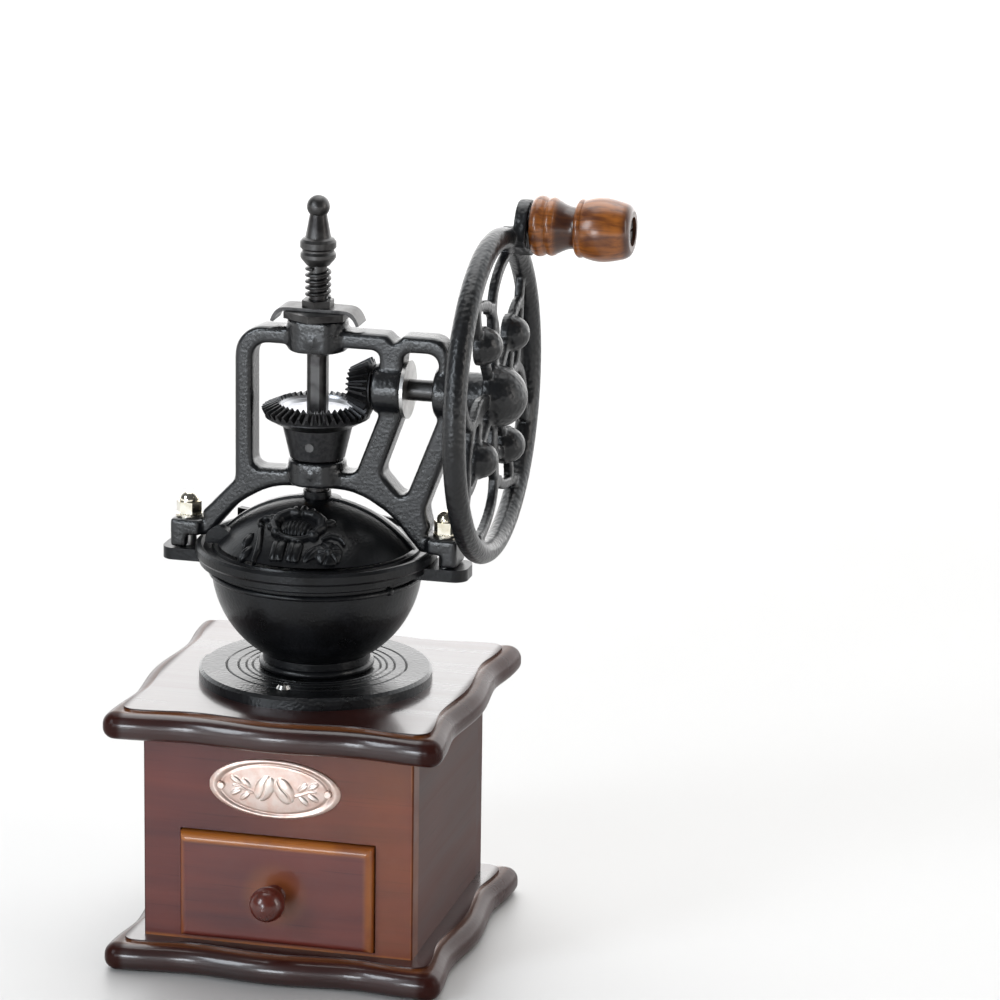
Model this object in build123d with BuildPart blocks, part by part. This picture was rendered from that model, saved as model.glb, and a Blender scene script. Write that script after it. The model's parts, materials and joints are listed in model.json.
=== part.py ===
from build123d import *
import os
from math import acos, atan2, cos, degrees, pi, radians, sin, sqrt, tan

os.makedirs("parts", exist_ok=True)

# Hand crank coffee mill. Millimetres, +Z up, origin at the centre of the base's underside,
# on the grinding spindle's axis. The crank shaft runs along +X, and the drawer faces -Y.

# Wooden box
BOARD_THICK = 10.0
BOARD_CORNER = 57.0
BOARD_DIP = 54.9
BOARD_BULGE = 57.2
DIP_AT = 29.0
FIELD_INSET = 5.4
FIELD_STEP = 0.9
CORNER_R = 4.6
NOSE_TOP_R = 4.4
NOSE_BOTTOM_R = 3.6
BOX_HALF = 45.6
WALL = 7.0
BOX_HEIGHT = 69.5
BOX_TOP = BOARD_THICK + BOX_HEIGHT
DECK = BOX_TOP + BOARD_THICK
INNER_HALF = BOX_HALF - WALL
SPOUT_HOLE_R = 18.0
WOOD_SCREW_R = 1.7

# Drawer
DRAWER_HALF = 32.6
DRAWER_LOW = 11.7
DRAWER_HIGH = 47.8
DRAWER_GAP = 0.5
DRAWER_PROUD = 3.2
DRAWER_FRONT_BACK = -39.6
DRAWER_BACK = 33.0
TRAY_HALF = 29.5
TRAY_TOP = 42.0
TRAY_WALL = 4.0
TRAY_FLOOR = 3.0
GUIDE_GAP = 0.6
KNOB_R = 5.8
KNOB_Z = 29.0
KNOB_CENTRE_Y = -57.6
KNOB_STEM_R = 3.2
KNOB_SCREW_R = 1.4

# Name plate
PLATE_X = -0.9
PLATE_Z = 64.5
PLATE_HALF_WIDTH = 22.2
PLATE_HALF_HEIGHT = 10.1
PLATE_THICK = 1.0
NAIL_OFFSET = 18.0
NAIL_R = 0.7

# Cast hopper
FLANGE_R = 39.0
FLANGE_THICK = 4.0
FLANGE_SCREW_ORBIT = 28.8
FLANGE_SCREW_ANGLE = 264.0
FLANGE_TOP = DECK + FLANGE_THICK
NECK_R = 17.8
BURR_SEAT_R = 15.0
BURR_LOW = 80.0
BOWL_Z = 128.5
BOWL_R = 34.8
BOWL_INNER_R = 32.2
RIM_R = 38.8
RIM_TOP = 131.4
COVER_R = 40.0
COVER_LOW = 131.6
COVER_TOP = 135.0
COVER_BEAD_TOP = 135.6
MOUTH_R = 31.0
LUG_ROOT = 30.0
LUG_TIP = 52.0
LUG_WIDTH = 14.0
STUD_X = 44.0
STUD_R = 2.5
STUD_TOP = 148.0
LUG_THICK = 4.0
LUG_CORNER_R = 4.5
FOOT_LOW = 131.6
FOOT_HIGH = 141.3
FOOT_HALF_DEPTH = 6.4

# Dome
DOME_Z = 108.4
DOME_INNER_R = 39.4
DOME_OUTER_R = 41.0
LID_INNER_R = 41.4
LID_OUTER_R = 42.9
LID_BEAD_R = 43.5
LID_LOW = 135.9
COLLAR_R = 4.6
COLLAR_TOP = 153.4
HUB_R = 8.0

# Bridge frame
FRAME_HALF_DEPTH = 5.0
EDGE_R = 1.2
BAR_TOP = 208.2
BOSS_FLAT = 8.7
LOWER_BOSS = (155.8, 164.4)
UPPER_BOSS = (200.8, 211.8)
LOWER_BOSS_R = 9.6
UPPER_BOSS_R = 10.0
CRANK_Z = 189.5
CRANK_BOSS_R = 8.3
INNER_BOSS = (19.7, 29.5)
OUTER_BOSS = (40.2, 45.6)
BUSH_R = 5.0

# Spindle, crank shaft and bevel gears
SPINDLE_R = 3.6
SHAFT_R = 3.5
RUNNING = 0.05
FLAT = 3.3
THREAD_R = 2.9
MODULE = 0.9
CROWN_TEETH = 40
PINION_TEETH = 20
CROWN_FACE = 5.6
PINION_FACE = 7.6
TOOTH_SLACK = 0.16
PRESSURE = radians(20.0)
PITCH_R = MODULE * CROWN_TEETH / 2
PINION_PITCH_R = MODULE * PINION_TEETH / 2
CONE = sqrt(PITCH_R**2 + PINION_PITCH_R**2)

# Hand wheel
WHEEL_X = 59.0
WHEEL_R = 51.0
RIM_SECTION_R = 3.7
BAR_WIDTH = 3.4
BAR_LOW_X = 57.4
BAR_THICK = 3.0
DOME_ORBIT = 26.0
DOME_ANGLE = 38.4
SMALL_DOME_R = 5.9
HUB_DOME_R = 10.2
DOME_LEDGE = 0.5
DOME_SINK = 0.3
HANDLE_ANGLE = 66.0
HANDLE_ORBIT = 57.0
HANDLE_Y = HANDLE_ORBIT * cos(radians(HANDLE_ANGLE))
HANDLE_Z = CRANK_Z + HANDLE_ORBIT * sin(radians(HANDLE_ANGLE))
EAR_R = 8.4
EAR_X = (61.2, 65.6)
GRIP_X = 66.4
GRIP_LENGTH = 32.8
GRIP_PIN_R = 2.4

# Adjuster on top of the spindle
HEX_PLATE = (211.8, 214.0)
LEAF_Z = 214.1
LEAF_THICK = 1.1
LEAF_HALF_DEPTH = 4.6
SPRING_LOW = 217.6
SPRING_HIGH = 228.6
SPRING_WIRE_R = 0.55
SPRING_R = 3.75
FINIAL_LOW = 229.0


def save(piece, name):
    """Label a finished piece and write it as one STEP file."""
    piece.part.label = name
    export_step(piece.part, f"parts/{name}.step")


def wavy_square(plane, inset=0.0):
    """Square outline whose sides swell in the middle, dip, and flare to round corners."""
    corner = BOARD_CORNER - inset
    dip = BOARD_DIP - inset
    bulge = BOARD_BULGE - inset
    straight = corner - CORNER_R
    diagonal = straight + CORNER_R * sin(pi / 4)
    with BuildSketch(plane) as outline:
        with BuildLine():
            for turn in range(4):
                angle = 90 * turn
                side = [
                    Vector(-straight, -corner),
                    Vector(-DIP_AT, -dip),
                    Vector(0, -bulge),
                    Vector(DIP_AT, -dip),
                    Vector(straight, -corner),
                ]
                along = Vector(1, 0).rotate(Axis.Z, angle)
                Spline(*[p.rotate(Axis.Z, angle) for p in side], tangents=[along, along])
                ThreePointArc(
                    Vector(straight, -corner).rotate(Axis.Z, angle),
                    Vector(diagonal, -diagonal).rotate(Axis.Z, angle),
                    Vector(corner, -straight).rotate(Axis.Z, angle),
                )
        make_face()
    return outline.sketch


def profile(points, plane=Plane.XZ):
    """Closed face through (radius, height) points, for turning about an axis."""
    with BuildSketch(plane) as section:
        with BuildLine():
            Polyline(*points, close=True)
        make_face()
    return section.sketch


def tube(outer, inner, low, high, plane=Plane.XY):
    """Plain bush or ring between two distances along the plane's normal."""
    with BuildPart() as ring:
        with BuildSketch(plane.offset(low)):
            Circle(outer)
            Circle(inner, mode=Mode.SUBTRACT)
        extrude(amount=high - low)
    return ring


def block(low, high):
    """Box between two opposite corners."""
    with BuildPart() as solid:
        middle = [(a + b) / 2 for a, b in zip(low, high)]
        with Locations(tuple(middle)):
            Box(*[b - a for a, b in zip(low, high)])
    return solid


# --- Boards -------------------------------------------------------------------

SCREW_SPOTS = [(x, y) for x in (-42.1, 42.1) for y in (-30.0, 30.0)]

with BuildPart() as base_board:
    extrude(wavy_square(Plane.XY), amount=BOARD_THICK - FIELD_STEP)
    fillet(base_board.edges().group_by(Axis.Z)[-1], NOSE_TOP_R)
    fillet(base_board.edges().group_by(Axis.Z)[0], NOSE_BOTTOM_R)
    extrude(wavy_square(Plane.XY.offset(BOARD_THICK - FIELD_STEP), FIELD_INSET), amount=FIELD_STEP)
    with BuildSketch(Plane.XY):
        with Locations(SCREW_SPOTS):
            Circle(WOOD_SCREW_R)
    extrude(amount=BOARD_THICK, mode=Mode.SUBTRACT)
    with BuildSketch(Plane.XY):
        with Locations(SCREW_SPOTS):
            Circle(3.4)
    extrude(amount=2.0, mode=Mode.SUBTRACT)
save(base_board, "base_board")

with BuildPart() as base_screws:
    with BuildSketch(Plane.XY.offset(0.5)):
        with Locations(SCREW_SPOTS):
            Circle(3.2)
    extrude(amount=1.5)
    with BuildSketch(Plane.XY.offset(2.0)):
        with Locations(SCREW_SPOTS):
            Circle(WOOD_SCREW_R)
    extrude(amount=20.0)
save(base_screws, "base_screws")

with BuildPart() as top_board:
    extrude(wavy_square(Plane.XY.offset(BOX_TOP)), amount=BOARD_THICK - FIELD_STEP)
    fillet(top_board.edges().group_by(Axis.Z)[-1], NOSE_TOP_R)
    fillet(top_board.edges().group_by(Axis.Z)[0], NOSE_BOTTOM_R)
    extrude(wavy_square(Plane.XY.offset(DECK - FIELD_STEP), FIELD_INSET), amount=FIELD_STEP)
    with BuildSketch(Plane.XY.offset(BOX_TOP)):
        Circle(SPOUT_HOLE_R)
    extrude(amount=BOARD_THICK, mode=Mode.SUBTRACT)
    with BuildSketch(Plane.XY.offset(BOX_TOP)):
        with PolarLocations(FLANGE_SCREW_ORBIT, 2, start_angle=FLANGE_SCREW_ANGLE):
            Circle(1.2)
    extrude(amount=BOARD_THICK, mode=Mode.SUBTRACT)
save(top_board, "top_board")

# --- Box walls -----------------------------------------------------------------

OPENING_HALF = DRAWER_HALF + DRAWER_GAP
with BuildPart() as front_panel:
    with BuildSketch(Plane.XZ.offset(INNER_HALF)):
        with Locations((0, (BOARD_THICK + BOX_TOP) / 2)):
            Rectangle(2 * BOX_HALF, BOX_HEIGHT)
        with Locations((0, (DRAWER_LOW + DRAWER_HIGH) / 2)):
            Rectangle(2 * OPENING_HALF, DRAWER_HIGH - DRAWER_LOW + 2 * DRAWER_GAP, mode=Mode.SUBTRACT)
        with Locations((PLATE_X - NAIL_OFFSET, PLATE_Z), (PLATE_X + NAIL_OFFSET, PLATE_Z)):
            Circle(NAIL_R, mode=Mode.SUBTRACT)
    extrude(amount=WALL)
    fillet(front_panel.edges().filter_by(Axis.Z).group_by(Axis.Y)[0].sort_by(Axis.X)[0], 0.6)
    fillet(front_panel.edges().filter_by(Axis.Z).group_by(Axis.Y)[0].sort_by(Axis.X)[-1], 0.6)
save(front_panel, "front_panel")

back_panel = block((-BOX_HALF, INNER_HALF, BOARD_THICK), (BOX_HALF, BOX_HALF, BOX_TOP))
save(back_panel, "back_panel")

for side_name, side in (("left_panel", -1), ("right_panel", 1)):
    with BuildPart() as side_panel:
        with Locations((side * (BOX_HALF - WALL / 2), 0, (BOARD_THICK + BOX_TOP) / 2)):
            Box(WALL, 2 * INNER_HALF, BOX_HEIGHT)
        with BuildSketch(Plane.XY.offset(BOARD_THICK)):
            with Locations([(x, y) for x, y in SCREW_SPOTS if x * side > 0]):
                Circle(WOOD_SCREW_R)
        extrude(amount=12.0, mode=Mode.SUBTRACT)
    save(side_panel, side_name)

# --- Drawer ----------------------------------------------------------------------

FRONT_Y = -BOX_HALF - DRAWER_PROUD
with BuildPart() as drawer_front:
    with Locations((0, (FRONT_Y + DRAWER_FRONT_BACK) / 2, (DRAWER_LOW + DRAWER_HIGH) / 2)):
        Box(2 * DRAWER_HALF, DRAWER_FRONT_BACK - FRONT_Y, DRAWER_HIGH - DRAWER_LOW)
    fillet(drawer_front.faces().sort_by(Axis.Y)[0].edges(), 2.3)
    with BuildSketch(Plane.XZ.offset(-FRONT_Y)):
        with Locations((0, KNOB_Z)):
            Circle(KNOB_SCREW_R)
    extrude(amount=-12, mode=Mode.SUBTRACT)
save(drawer_front, "drawer_front")

TRAY_LOW = DRAWER_LOW + 0.2
for tray_name, side in (("drawer_left_side", -1), ("drawer_right_side", 1)):
    inner = TRAY_HALF - TRAY_WALL
    tray_side = block(
        (min(side * inner, side * TRAY_HALF), DRAWER_FRONT_BACK, TRAY_LOW),
        (max(side * inner, side * TRAY_HALF), DRAWER_BACK, TRAY_TOP),
    )
    save(tray_side, tray_name)

drawer_back = block(
    (-TRAY_HALF + TRAY_WALL, DRAWER_BACK - TRAY_WALL, TRAY_LOW),
    (TRAY_HALF - TRAY_WALL, DRAWER_BACK, TRAY_TOP),
)
save(drawer_back, "drawer_back")

drawer_bottom = block(
    (-TRAY_HALF + TRAY_WALL, DRAWER_FRONT_BACK, TRAY_LOW),
    (TRAY_HALF - TRAY_WALL, DRAWER_BACK - TRAY_WALL, TRAY_LOW + TRAY_FLOOR),
)
save(drawer_bottom, "drawer_bottom")

with BuildPart() as drawer_guides:
    guide_inner = TRAY_HALF + GUIDE_GAP
    with Locations([(s * (guide_inner + INNER_HALF) / 2, 0, BOARD_THICK + 5) for s in (-1, 1)]):
        Box(INNER_HALF - guide_inner, 2 * INNER_HALF, 10)
save(drawer_guides, "drawer_guides")

with BuildPart() as drawer_knob:
    with BuildSketch(Plane.XY.offset(KNOB_Z)):
        stem_y = KNOB_CENTRE_Y + sqrt(KNOB_R**2 - KNOB_STEM_R**2)
        with BuildLine():
            Polyline(
                (0, KNOB_CENTRE_Y - KNOB_R),
                (0, FRONT_Y),
                (KNOB_STEM_R + 0.5, FRONT_Y),
                (KNOB_STEM_R, FRONT_Y - 1.0),
                (KNOB_STEM_R, stem_y),
            )
            ThreePointArc((KNOB_STEM_R, stem_y), (KNOB_R, KNOB_CENTRE_Y), (0, KNOB_CENTRE_Y - KNOB_R))
        make_face()
    revolve(axis=Axis((0, 0, KNOB_Z), (0, 1, 0)))
    with BuildSketch(Plane.XZ.offset(-FRONT_Y)):
        with Locations((0, KNOB_Z)):
            Circle(KNOB_SCREW_R)
    extrude(amount=7, mode=Mode.SUBTRACT)
save(drawer_knob, "drawer_knob")

with BuildPart() as drawer_knob_screw:
    with BuildSketch(Plane.XZ.offset(-DRAWER_FRONT_BACK)):
        with Locations((0, KNOB_Z)):
            Circle(KNOB_SCREW_R)
    extrude(amount=DRAWER_FRONT_BACK - FRONT_Y + 6.5)
    with BuildSketch(Plane.XZ.offset(-DRAWER_FRONT_BACK)):
        with Locations((0, KNOB_Z)):
            Circle(3.0)
    extrude(amount=-1.4)
save(drawer_knob_screw, "drawer_knob_screw")

# --- Name plate --------------------------------------------------------------------

with BuildPart() as name_plate:
    with BuildSketch(Plane.XZ.offset(BOX_HALF)):
        with Locations((PLATE_X, PLATE_Z)):
            Ellipse(PLATE_HALF_WIDTH, PLATE_HALF_HEIGHT)
        with Locations((PLATE_X - NAIL_OFFSET, PLATE_Z), (PLATE_X + NAIL_OFFSET, PLATE_Z)):
            Circle(NAIL_R, mode=Mode.SUBTRACT)
    extrude(amount=PLATE_THICK)
    with BuildSketch(Plane.XZ.offset(BOX_HALF + PLATE_THICK)):
        with Locations((PLATE_X, PLATE_Z)):
            Ellipse(PLATE_HALF_WIDTH - 1.6, PLATE_HALF_HEIGHT - 1.6)
            Ellipse(PLATE_HALF_WIDTH - 2.3, PLATE_HALF_HEIGHT - 2.3, mode=Mode.SUBTRACT)
    extrude(amount=-0.35, mode=Mode.SUBTRACT)
    fillet(name_plate.faces().sort_by(Axis.Y)[0].outer_wire().edges(), 0.4)
save(name_plate, "name_plate")

with BuildPart() as plate_nails:
    for offset in (-NAIL_OFFSET, NAIL_OFFSET):
        with BuildSketch(Plane.XZ.offset(BOX_HALF - 5)):
            with Locations((PLATE_X + offset, PLATE_Z)):
                Circle(NAIL_R)
        extrude(amount=5 + PLATE_THICK)
        with BuildSketch(Plane.XZ.offset(BOX_HALF + PLATE_THICK)):
            with Locations((PLATE_X + offset, PLATE_Z)):
                Circle(1.3)
        extrude(amount=0.6, taper=25)
save(plate_nails, "plate_nails")

# --- Flange, hopper bowl and cover ----------------------------------------------------

GROOVES = (29.8, 25.9, 23.3, 21.2)


def flange_profile(outer, top):
    """Half section of the round foot plate, with narrow grooves turned in its top."""
    points = [(NECK_R + 0.1, DECK), (outer, DECK), (outer, top - 1.0), (outer - 1.0, top)]
    for groove in GROOVES:
        points += [(groove + 0.45, top), (groove, top - 0.6), (groove - 0.45, top)]
    points.append((NECK_R + 0.1, top))
    return profile(points)


with BuildPart() as foot_plate:
    revolve(flange_profile(FLANGE_R, FLANGE_TOP), axis=Axis.Z, revolution_arc=-180)
    revolve(flange_profile(FLANGE_R - 0.6, FLANGE_TOP - 0.35), axis=Axis.Z, revolution_arc=180)
    with BuildSketch(Plane.XY.offset(FLANGE_TOP)):
        with PolarLocations(FLANGE_SCREW_ORBIT, 2, start_angle=FLANGE_SCREW_ANGLE):
            Circle(1.2)
    extrude(amount=-FLANGE_THICK, mode=Mode.SUBTRACT)
save(foot_plate, "foot_plate")

with BuildPart() as foot_screws:
    with BuildSketch(Plane.XY.offset(FLANGE_TOP)):
        with PolarLocations(FLANGE_SCREW_ORBIT, 2, start_angle=FLANGE_SCREW_ANGLE):
            Circle(2.4)
    extrude(amount=1.2, taper=30)
    with BuildSketch(Plane.XY.offset(FLANGE_TOP + 1.2)):
        with PolarLocations(FLANGE_SCREW_ORBIT, 2, start_angle=FLANGE_SCREW_ANGLE):
            Rectangle(4, 0.6, rotation=35)
    extrude(amount=-0.7, mode=Mode.SUBTRACT)
    with BuildSketch(Plane.XY.offset(FLANGE_TOP)):
        with PolarLocations(FLANGE_SCREW_ORBIT, 2, start_angle=FLANGE_SCREW_ANGLE):
            Circle(1.2)
    extrude(amount=-12)
save(foot_screws, "foot_screws")

with BuildPart() as hopper_bowl:
    with BuildSketch(Plane.XZ):
        neck_angle = degrees(acos(NECK_R / BOWL_R))
        seat_angle = degrees(acos(BURR_SEAT_R / BOWL_INNER_R))
        with BuildLine():
            outer = CenterArc((0, BOWL_Z), BOWL_R, -neck_angle, neck_angle)
            inner = CenterArc((0, BOWL_Z), BOWL_INNER_R, -seat_angle, seat_angle)
            Polyline(
                outer @ 1,
                (RIM_R - 2.2, BOWL_Z),
                (RIM_R, BOWL_Z + 1.0),
                (RIM_R, RIM_TOP),
                (BOWL_INNER_R, RIM_TOP),
                inner @ 1,
            )
            Polyline(inner @ 0, (BURR_SEAT_R, BURR_LOW), (NECK_R, BURR_LOW), outer @ 0)
        make_face()
    revolve(axis=Axis.Z)
    with BuildSketch(Plane.XZ):
        with Locations((NECK_R, FLANGE_TOP + 1.4)):
            Circle(1.3)
        with Locations((BOWL_R + 0.1, BOWL_Z - 2.4)):
            Circle(0.9)
    revolve(axis=Axis.Z)
    with BuildSketch(Plane.XY.offset(RIM_TOP - LUG_THICK)):
        lug_middle = (LUG_TIP + LUG_ROOT) / 2
        with Locations((-lug_middle, 0), (lug_middle, 0)):
            RectangleRounded(LUG_TIP - LUG_ROOT, LUG_WIDTH, LUG_CORNER_R)
        Circle(BOWL_R - 1, mode=Mode.SUBTRACT)
        with Locations((-STUD_X, 0), (STUD_X, 0)):
            Circle(STUD_R, mode=Mode.SUBTRACT)
    extrude(amount=LUG_THICK)
    dot_angle = atan2(-18.3, 29.5)
    with Locations((BOWL_R * cos(dot_angle), BOWL_R * sin(dot_angle), 126.2)):
        Sphere(1.5)
save(hopper_bowl, "hopper_bowl")

with BuildPart() as cover_ring:
    revolve(
        profile([
            (MOUTH_R, COVER_LOW), (COVER_R - 0.6, COVER_LOW), (COVER_R, COVER_LOW + 0.8),
            (COVER_R, COVER_BEAD_TOP - 0.9), (COVER_R - 0.8, COVER_BEAD_TOP),
            (COVER_R - 1.9, COVER_BEAD_TOP), (COVER_R - 2.6, COVER_TOP - 0.9),
            (34.6, COVER_TOP - 0.9), (34.2, COVER_TOP), (MOUTH_R, COVER_TOP),
        ]),
        axis=Axis.Z,
    )
save(cover_ring, "cover_ring")


def cap_profile(outer, inner, low, hub):
    """Half section of a domed shell, from its lower edge up to a flat hub."""
    def height(radius, shell):
        return DOME_Z + sqrt(shell**2 - radius**2)
    foot_out = sqrt(outer**2 - (low - DOME_Z) ** 2)
    foot_in = sqrt(inner**2 - (low - DOME_Z) ** 2)
    middle = 20.0
    with BuildSketch(Plane.XZ) as section:
        with BuildLine():
            ThreePointArc((foot_out, low), (middle, height(middle, outer)), (hub, height(hub, outer)))
            Line((hub, height(hub, outer)), (hub, height(hub, inner)))
            ThreePointArc((hub, height(hub, inner)), (middle, height(middle, inner)), (foot_in, low))
            Line((foot_in, low), (foot_out, low))
        make_face()
    return section.sketch


with BuildPart() as rear_dome:
    revolve(cap_profile(DOME_OUTER_R, DOME_INNER_R, COVER_TOP, COLLAR_R), axis=Axis.Z, revolution_arc=180)
    hub_low = DOME_Z + DOME_INNER_R - 2.0
    with BuildSketch(Plane.XY.offset(hub_low)):
        Circle(HUB_R)
    extrude(amount=2.4)
    with BuildSketch(Plane.XY.offset(hub_low)):
        Circle(COLLAR_R)
    extrude(amount=COLLAR_TOP - hub_low)
    with BuildSketch(Plane.XY.offset(hub_low - 2)):
        Circle(SPINDLE_R + 0.4)
    extrude(amount=COLLAR_TOP - hub_low + 2, mode=Mode.SUBTRACT)
    with Locations(Location((-27.3, 9.4, 139.4), (0, 0, -19))):
        Box(5.0, 2.4, 6.0)
save(rear_dome, "rear_dome")

LID_HUB_R = COLLAR_R + 0.3
lid_shell = revolve(cap_profile(LID_OUTER_R, LID_INNER_R, LID_LOW, LID_HUB_R), axis=Axis.Z)
lid_band = revolve(cap_profile(LID_BEAD_R, LID_INNER_R, LID_LOW, LID_HUB_R), axis=Axis.Z)
LID_BAND_WIDTH = 1.8
TAB_PLANE = Plane((-29.6, -9.4, LID_LOW + 0.6), x_dir=(1, -0.1, 0), z_dir=(-0.1, -1, 0))
TAB_R = 5.0
TAB_THICK = 3.2

with BuildPart() as lid:
    add(lid_shell)
    split(bisect_by=Plane.XZ, keep=Keep.TOP)
    with BuildPart(mode=Mode.PRIVATE) as band:
        add(lid_band)
        with Locations((0, -LID_BAND_WIDTH / 2, DOME_Z)):
            Box(2 * LID_BEAD_R, LID_BAND_WIDTH, 2 * LID_BEAD_R, mode=Mode.INTERSECT)
    add(band.part)
    with BuildPart(mode=Mode.PRIVATE) as hub:
        add(lid_shell)
        with Locations((0, 0, DOME_Z + LID_OUTER_R)):
            Cylinder(HUB_R, 2 * HUB_R, mode=Mode.INTERSECT)
    add(hub.part)
    with BuildPart(mode=Mode.PRIVATE) as tab:
        with BuildSketch(TAB_PLANE):
            Circle(TAB_R)
        extrude(amount=TAB_THICK)
        with Locations((0, 0, DOME_Z)):
            Sphere(LID_INNER_R + 0.3, mode=Mode.SUBTRACT)
        with Locations((0, 0, LID_LOW)):
            Box(100, 100, 2 * TAB_R, align=(Align.CENTER, Align.CENTER, Align.MAX), mode=Mode.SUBTRACT)
    add(tab.part)
save(lid, "lid")

# --- Bridge frame -------------------------------------------------------------------------

OUTLINE = [
    (-48.8, FOOT_LOW, 1.3), (-48.8, FOOT_HIGH, 1.3), (-37.4, FOOT_HIGH, 0.4), (-38.6, 143.6, 1.3),
    (-27.0, 156.0, 3.0), (-27.0, BAR_TOP, 10.0), (24.3, BAR_TOP, 1.3), (27.0, BAR_TOP - 3.0, 1.3),
    (29.7, BAR_TOP, 1.3), (45.3, BAR_TOP, 6.0), (45.3, 170.8, 8.0), (37.6, 150.2, 4.0),
    (39.2, 144.0, 1.3), (37.6, FOOT_HIGH, 0.4), (48.8, FOOT_HIGH, 1.3), (48.8, FOOT_LOW, 1.3),
    (43.4, FOOT_LOW, 1.3), (43.4, 135.9, 1.3), (36.0, 135.9, 1.3), (26.0, 147.8, 24.0),
    (14.0, 155.0, 24.0), (-14.0, 155.0, 24.0), (-26.0, 147.8, 24.0), (-36.0, 135.9, 1.3),
    (-43.4, 135.9, 1.3), (-43.4, FOOT_LOW, 1.3),
]
WINDOWS = [
    [(-20.9, 202.6, 5.0), (-20.9, 160.4, 3.0), (13.9, 160.8, 3.0), (21.6, 181.0, 2.0), (21.9, 202.6, 2.6)],
    [(29.9, 202.6, 2.6), (29.9, 181.6, 2.0), (22.8, 161.8, 2.6), (30.6, 153.0, 2.2), (41.4, 181.0, 2.0),
     (41.6, 202.6, 3.5)],
]


def loop_line(corners):
    """Closed line through (x, z, corner radius) points."""
    return FilletPolyline(*[c[:2] for c in corners], radius=[c[2] for c in corners], close=True)


def flat_boss(low, high, radius):
    """Upright round boss with a flat face at the front and at the back."""
    with BuildPart() as boss:
        with BuildSketch(Plane.XY.offset(low)):
            Circle(radius)
            Rectangle(2 * radius, 2 * BOSS_FLAT, mode=Mode.INTERSECT)
        extrude(amount=high - low)
        fillet(boss.edges().filter_by(GeomType.CIRCLE), 0.6)
    return boss.part


with BuildPart() as bridge_frame:
    with BuildSketch(Plane.XZ):
        with BuildLine():
            loop_line(OUTLINE)
        make_face()
        for window in WINDOWS:
            with BuildLine():
                loop_line(window)
            make_face(mode=Mode.SUBTRACT)
    extrude(amount=FRAME_HALF_DEPTH, both=True)
    fillet(bridge_frame.faces().filter_by(Axis.Y).edges(), EDGE_R)
    for side in (-1, 1):
        with BuildSketch(Plane.XZ):
            with BuildLine():
                Polyline(
                    (side * 48.8, FOOT_LOW), (side * 48.8, FOOT_HIGH), (side * 38.6, FOOT_HIGH),
                    (side * 38.6, 135.9), (side * 43.4, 135.9), (side * 43.4, FOOT_LOW), close=True,
                )
            make_face()
        extrude(amount=FOOT_HALF_DEPTH, both=True)
    add(flat_boss(*LOWER_BOSS, LOWER_BOSS_R))
    add(flat_boss(*UPPER_BOSS, UPPER_BOSS_R))
    for low, high in (INNER_BOSS, OUTER_BOSS):
        with BuildSketch(Plane.YZ.offset(low)):
            with Locations((0, CRANK_Z)):
                Circle(CRANK_BOSS_R)
        extrude(amount=high - low)
    for low, high in (LOWER_BOSS, UPPER_BOSS):
        with BuildSketch(Plane.XY.offset(low - 4)):
            Circle(BUSH_R)
        extrude(amount=high - low + 4, mode=Mode.SUBTRACT)
    with BuildSketch(Plane.YZ.offset(INNER_BOSS[0])):
        with Locations((0, CRANK_Z)):
            Circle(BUSH_R)
    extrude(amount=OUTER_BOSS[1] + 3 - INNER_BOSS[0], mode=Mode.SUBTRACT)
    with BuildSketch(Plane.XY.offset(FOOT_LOW)):
        with Locations((-STUD_X, 0), (STUD_X, 0)):
            Circle(STUD_R + 0.2)
    extrude(amount=FOOT_HIGH - FOOT_LOW, mode=Mode.SUBTRACT)
    with BuildSketch(Plane.XZ.offset(BOSS_FLAT)):
        with Locations((0, 160.5), (0, 205.0)):
            Circle(1.7)
    extrude(amount=0.5, taper=20)
save(bridge_frame, "bridge_frame")

CRANK_PLANE = Plane((0, 0, CRANK_Z), x_dir=(0, 1, 0), z_dir=(1, 0, 0))
save(tube(BUSH_R, SPINDLE_R + RUNNING, *LOWER_BOSS), "lower_spindle_bush")
save(tube(BUSH_R, SHAFT_R + RUNNING, *INNER_BOSS, CRANK_PLANE), "inner_crank_bush")
save(tube(BUSH_R, SHAFT_R + RUNNING, *OUTER_BOSS, CRANK_PLANE), "outer_crank_bush")

with BuildPart() as upper_spindle_bush:
    with BuildSketch(Plane.XY.offset(UPPER_BOSS[0])):
        Circle(BUSH_R)
    extrude(amount=UPPER_BOSS[1] - UPPER_BOSS[0])
    with BuildSketch(Plane.XY.offset(HEX_PLATE[0])):
        RegularPolygon(11.6, 6, rotation=30)
    extrude(amount=HEX_PLATE[1] - HEX_PLATE[0])
    with BuildSketch(Plane.XY.offset(UPPER_BOSS[0])):
        Circle(SPINDLE_R + RUNNING)
    extrude(amount=HEX_PLATE[1] - UPPER_BOSS[0], mode=Mode.SUBTRACT)
save(upper_spindle_bush, "upper_spindle_bush")

with BuildPart() as frame_studs:
    with BuildSketch(Plane.XY.offset(RIM_TOP - LUG_THICK)):
        with Locations((-STUD_X, 0), (STUD_X, 0)):
            Circle(STUD_R)
    extrude(amount=STUD_TOP - RIM_TOP + LUG_THICK)
save(frame_studs, "frame_studs")

WASHER_TOP = FOOT_HIGH + 0.9
with BuildPart() as stud_washers:
    with BuildSketch(Plane.XY.offset(FOOT_HIGH)):
        with Locations((-STUD_X, 0), (STUD_X, 0)):
            Circle(4.5)
            Circle(STUD_R, mode=Mode.SUBTRACT)
    extrude(amount=WASHER_TOP - FOOT_HIGH)
save(stud_washers, "stud_washers")

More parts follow.
